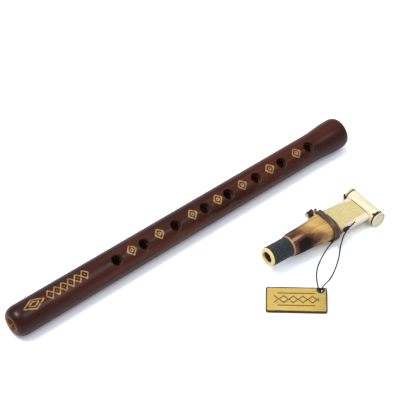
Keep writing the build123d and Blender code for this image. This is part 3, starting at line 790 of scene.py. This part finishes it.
# %% Rolling tree
def rolled(name, flat, places, roll, material):
    """The flat mesh at each place along the pipe, rolled round it by a geometry tree."""
    points = bpy.data.meshes.new(name)
    points.from_pydata([Vector((x * MM, 0, 0)) for x in places], [], [])
    o = add_object(name, points)
    source = bpy.data.objects.new(name + "_flat", flat)
    tree = bpy.data.node_groups.new(name + "_tree", "GeometryNodeTree")
    face = tree.interface
    face.new_socket(name="Geometry", in_out="INPUT", socket_type="NodeSocketGeometry")
    ids = {key: face.new_socket(name=key, in_out="INPUT", socket_type="NodeSocketFloat").identifier
           for key in ("Roll", "Radius at mouth", "Taper")}
    face.new_socket(name="Geometry", in_out="OUTPUT", socket_type="NodeSocketGeometry")

    def make(kind, *inputs, **settings):
        node = tree.nodes.new(kind)
        for key, value in settings.items():
            setattr(node, key, value)
        for slot, value in enumerate(inputs):
            if isinstance(value, bpy.types.NodeSocket):
                tree.links.new(value, node.inputs[slot])
            elif value is not None:
                node.inputs[slot].default_value = value
        return node

    def calc(op, a, b=None, c=None):
        return make("ShaderNodeMath", a, b, c, operation=op).outputs[0]

    entry = make("NodeGroupInput")
    plates = make("GeometryNodeObjectInfo")
    plates.inputs["Object"].default_value = source
    placed = make("GeometryNodeInstanceOnPoints", entry.outputs["Geometry"])
    tree.links.new(plates.outputs["Geometry"], placed.inputs["Instance"])
    real = make("GeometryNodeRealizeInstances", placed.outputs[0])
    x, y, z = make("ShaderNodeSeparateXYZ", make("GeometryNodeInputPosition").outputs[0]).outputs
    radius = calc("MULTIPLY_ADD", x, entry.outputs["Taper"], entry.outputs["Radius at mouth"])
    turn = calc("ADD", entry.outputs["Roll"], calc("MULTIPLY", calc("DIVIDE", y, radius), -1.0))
    height = calc("ADD", radius, z)
    side = calc("MULTIPLY", calc("MULTIPLY", height, calc("SINE", turn)), -1.0)
    bent = make("ShaderNodeCombineXYZ", x, side, calc("MULTIPLY", height, calc("COSINE", turn)))
    moved = make("GeometryNodeSetPosition", real.outputs[0])
    tree.links.new(bent.outputs[0], moved.inputs["Position"])
    dressed = make("GeometryNodeSetMaterial", moved.outputs[0])
    dressed.inputs["Material"].default_value = material
    exit_node = make("NodeGroupOutput")
    tree.links.new(dressed.outputs[0], exit_node.inputs[0])
    modifier = o.modifiers.new("rolled", "NODES")
    modifier.node_group = tree
    for key, value in (("Roll", math.radians(roll)), ("Radius at mouth", RADIUS_0 * MM), ("Taper", TAPER)):
        modifier[ids[key]] = value
    seen = bpy.data.meshes.new_from_object(o.evaluated_get(bpy.context.evaluated_depsgraph_get()))
    o.modifiers.remove(modifier)
    o.data = seen
    bpy.data.objects.remove(source)
    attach(o, "pipe")
    return o


print("rolling tree ready")

# %% [markdown]
# ## Placing the ornaments
# The gold is matt and uneven, as paint or foil on wood is. A metallic surface could be used, but then
# each plate would be as bright as what it mirrors. So it is a plain colour with a little shine, at the
# few places along the pipe where the real one has its ornaments.

# %% Ornaments
# the pipe's outside follows one straight taper between its foot dome and its head. A plate is 0.2 mm
# thick and SUNK into the wood, so it stands 0.06 mm proud.
PIPE_LEN, FOOT_R, NECK_R, FOOT_DOME, HEAD_LEN, SUNK = 350, 13.4, 12.4, 9.3, 34.0, 0.14
TAPER = -(FOOT_R - NECK_R) / (PIPE_LEN - FOOT_DOME - HEAD_LEN)
RADIUS_0 = NECK_R + TAPER * HEAD_LEN - SUNK
gold = Net("gilding")
glow = gold.noise(gold.stretched((400, 400, 400)), 1.0, 3, 0.6)
colour = gold.mix(gold.step(glow, 0.35, 0.7), srgb(122, 86, 34), srgb(192, 148, 80))
gold.surface(color=colour, rough=0.35, metal=0.0, shine=0.6)
star = motif("star", lozenge_lines(0, 4.3, 4.6) + lozenge_lines(0, 1.4, 1.6)
             + [[(-4.3, 0), (-2.6, 0)], [(2.6, 0), (4.3, 0)]], 1.15)
# places along the pipe in millimetres, and how many degrees each kind is turned towards the viewer
STARS_AT = [-233.0, -204.2, -169.4, -142.2, -115.5, -85.2, -55.4]
LINKS_AT, ROSETTE_AT = [-313.0 + 6.8 * i for i in range(6)], [-329.0]
STAR_ROLL, FOOT_ROLL = 25, 13
between = rolled("star_ornaments", star, STARS_AT, STAR_ROLL, gold.mat)
link = motif("link", lozenge_lines(0, 3.4, 4.2) + [[(-0.2, 0), (0.2, 0)]], 1.1)
band = rolled("foot_links", link, LINKS_AT, FOOT_ROLL, gold.mat)
rose = motif("rosette", lozenge_lines(0, 10.0, 4.6) + lozenge_lines(0, 5.0, 2.2), 1.1)
rosette = rolled("foot_rosette", rose, ROSETTE_AT, FOOT_ROLL, gold.mat)
print("ornaments:", [len(o.data.polygons) for o in (between, band, rosette)])

# %% [markdown]
# ## The table
# The table is as white as the background. Stronger lamps would burn out the pale cane before they made it
# so. So the camera, and nothing else, sees the table glow. That glow fades within 15 mm of a piece, so the
# shadow stays dark where a piece touches the table and pales quickly beside it.

# %% Table
bpy.ops.mesh.primitive_plane_add(size=6, location=(LOOK_AT.x, LOOK_AT.y, TABLE))
table = bpy.context.object
table.name = "table"
white = Net("table_white")
white.surface(color=(0.86, 0.87, 0.9, 1), rough=0.6, shine=0.2)
lift = white.make("LightPath").outputs["Is Camera Ray"]
white.put(white.shader.inputs["Emission Color"], (0.86, 0.92, 1, 1))
GLOW_REACH, GLOW_FADE, GLOW_MORE, GLOW_LEAST = 15 * MM, 1.5, 0.85, 0.03
near_by = white.make("AmbientOcclusion")
white.put(near_by.inputs["Distance"], GLOW_REACH)
open_sky = white.math("POWER", near_by.outputs["AO"], GLOW_FADE)
glow = white.math("MULTIPLY_ADD", open_sky, GLOW_MORE, GLOW_LEAST)
white.put(white.shader.inputs["Emission Strength"], white.times(lift, glow))
wear([table], white.mat)
table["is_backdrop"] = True
print("table at", round(TABLE / MM, 1), "mm")

# %% [markdown]
# ## The light
# Two round lamps and a wide ceiling light are added to a pale blue sky. Small lamps would give hard
# shadows and sharp dots on the polish, and the sky alone would give neither shadow nor shine. A picture
# of a room could light the pieces as well, but a few named lamps are easier to move.

# %% Light
# the camera sees white behind everything, and the pieces see a pale blue sky
world = bpy.data.worlds.new("world")
bpy.context.scene.world = world
world.use_nodes = True
tree = world.node_tree
sky = tree.nodes["Background"]
sky.inputs["Color"].default_value = (0.93, 0.96, 1, 1)
sky.inputs["Strength"].default_value = 0.54
seen = tree.nodes.new("ShaderNodeBackground")
seen.inputs["Color"].default_value = (1, 1, 1, 1)
seen.inputs["Strength"].default_value = 1.0
path = tree.nodes.new("ShaderNodeLightPath")
either = tree.nodes.new("ShaderNodeMath")
either.operation = "MAXIMUM"
pick = tree.nodes.new("ShaderNodeMixShader")
tree.links.new(path.outputs["Is Camera Ray"], either.inputs[0])
tree.links.new(path.outputs["Is Transmission Ray"], either.inputs[1])
tree.links.new(either.outputs[0], pick.inputs[0])
tree.links.new(sky.outputs[0], pick.inputs[1])
tree.links.new(seen.outputs[0], pick.inputs[2])
tree.links.new(pick.outputs[0], tree.nodes["World Output"].inputs["Surface"])


def soft_light(name, place, size, power):
    data = bpy.data.lights.new(name, "AREA")
    data.shape, data.size, data.energy = "DISK", size, power
    lamp = bpy.data.objects.new(name, data)
    bpy.context.collection.objects.link(lamp)
    lamp.location = place
    lamp.rotation_mode = "QUATERNION"
    lamp.rotation_quaternion = (LOOK_AT - Vector(place)).to_track_quat("-Z", "Y")
    lamp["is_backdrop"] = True


soft_light("key", (-0.95, 0.36, 1.8), 0.7, 25)
soft_light("second", (0.38, -0.88, 1.8), 0.9, 7)
soft_light("ceiling", (-0.1, 0.9, 2.2), 2.4, 5)

# %% [markdown]
# ## Finish
# The box round all pieces was measured at the start and is measured again here.

# %% Finish
lo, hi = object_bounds()
